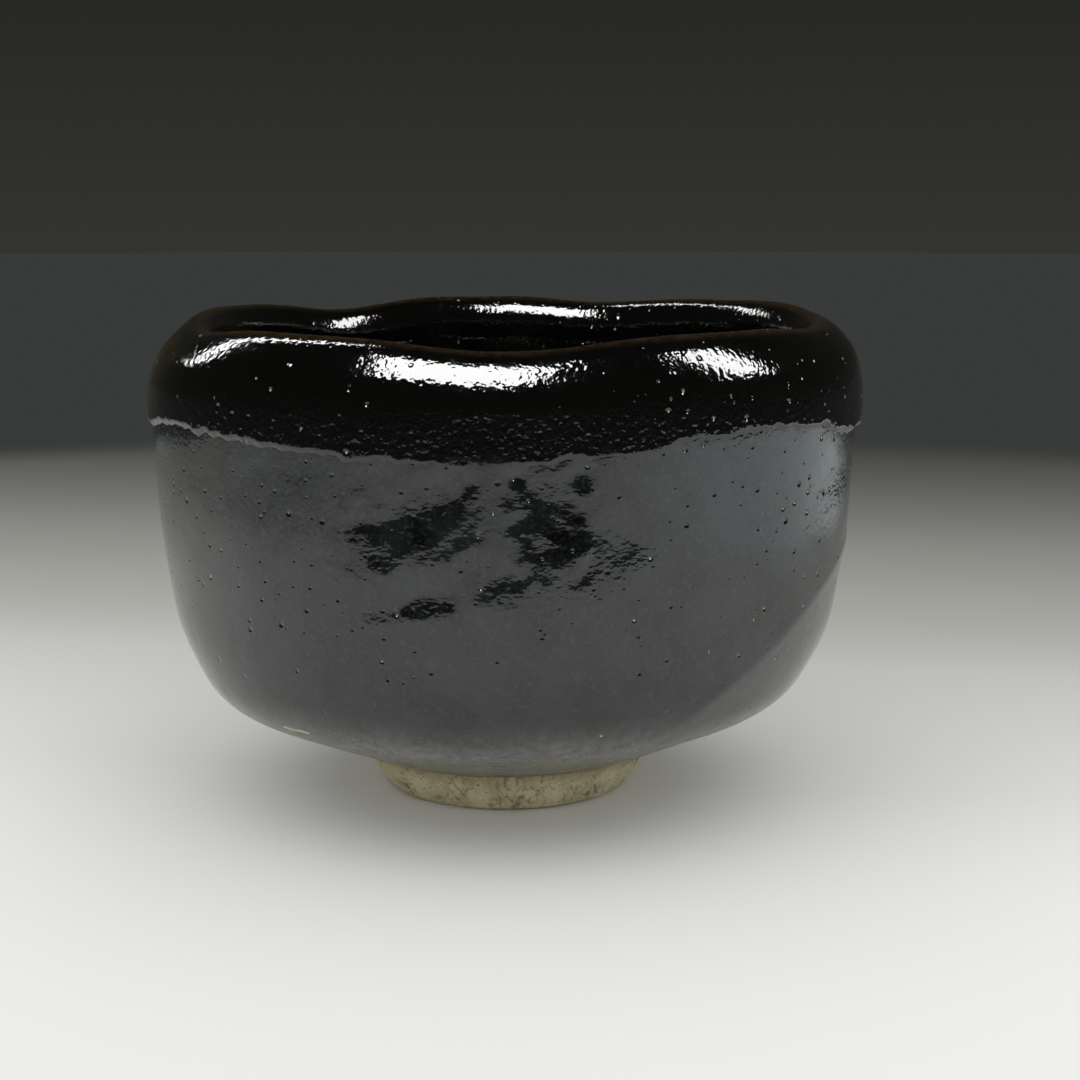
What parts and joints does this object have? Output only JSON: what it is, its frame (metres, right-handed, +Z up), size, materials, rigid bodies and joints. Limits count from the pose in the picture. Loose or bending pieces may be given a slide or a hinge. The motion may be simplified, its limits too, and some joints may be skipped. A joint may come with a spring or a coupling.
{
  "type": "matcha bowl",
  "caption": "Hand-formed black tea bowl with a thick glaze band hung from a waving lip, a low hip and a bare clay foot ring.",
  "frame": {"origin": "centre of the foot ring's underside, on the plane that the bowl stands on", "axes": "+Z up through the mouth; -Y is the bowl's front, where the lip dips lowest; +X is its right"},
  "size_m": [0.1198, 0.1156, 0.0815],
  "materials": {
    "bare_clay": "bare low-fired clay",
    "foot_clay": "bare, finely cracked low-fired clay",
    "black_glaze_outside": "gloss with orange peel",
    "black_glaze_inside": "gloss",
    "black_glaze_curtain": "gloss, thick, with pinholes"
  },
  "bodies": {
    "root": {"clay_body": "bare_clay", "foot_ring": "foot_clay", "outer_glaze": "black_glaze_outside", "inner_glaze": "black_glaze_inside", "glaze_curtain": "black_glaze_curtain"}
  },
  "joints": []
}
